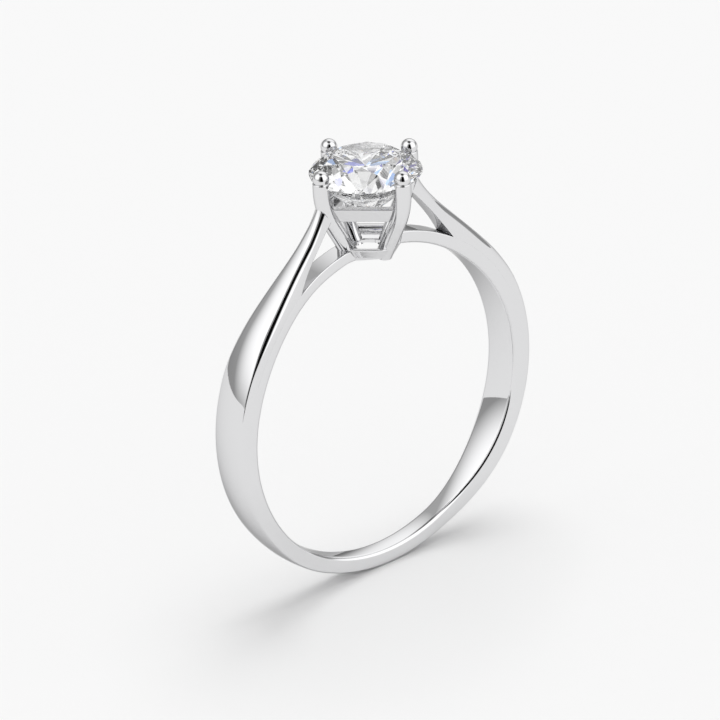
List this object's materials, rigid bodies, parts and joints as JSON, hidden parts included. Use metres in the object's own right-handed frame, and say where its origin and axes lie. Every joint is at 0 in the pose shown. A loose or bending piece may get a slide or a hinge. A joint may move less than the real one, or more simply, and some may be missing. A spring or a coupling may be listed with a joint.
{
  "type": "engagement ring",
  "caption": "Solitaire ring: a domed band with cathedral shoulders carries a claw-set round brilliant stone on a small tapered basket.",
  "frame": {"origin": "centre of the finger bore, midway across the band", "axes": "+Y along the finger bore; +Z from the bore's centre up through the stone; +X across the finger, shoulder to shoulder"},
  "size_m": [0.0198, 0.0068, 0.0234],
  "materials": {
    "polished_metal": "mirror-polished white precious metal, rhodium plated",
    "brilliant_stone": "clear colourless stone, faceted and polished"
  },
  "bodies": {
    "root": {"band": "polished_metal", "shoulder_left": "polished_metal", "shoulder_right": "polished_metal", "base_collar": "polished_metal", "gallery_rail": "polished_metal", "claw_left": "polished_metal", "claw_right": "polished_metal", "claw_front": "polished_metal", "claw_back": "polished_metal", "stone": "brilliant_stone"}
  },
  "joints": []
}
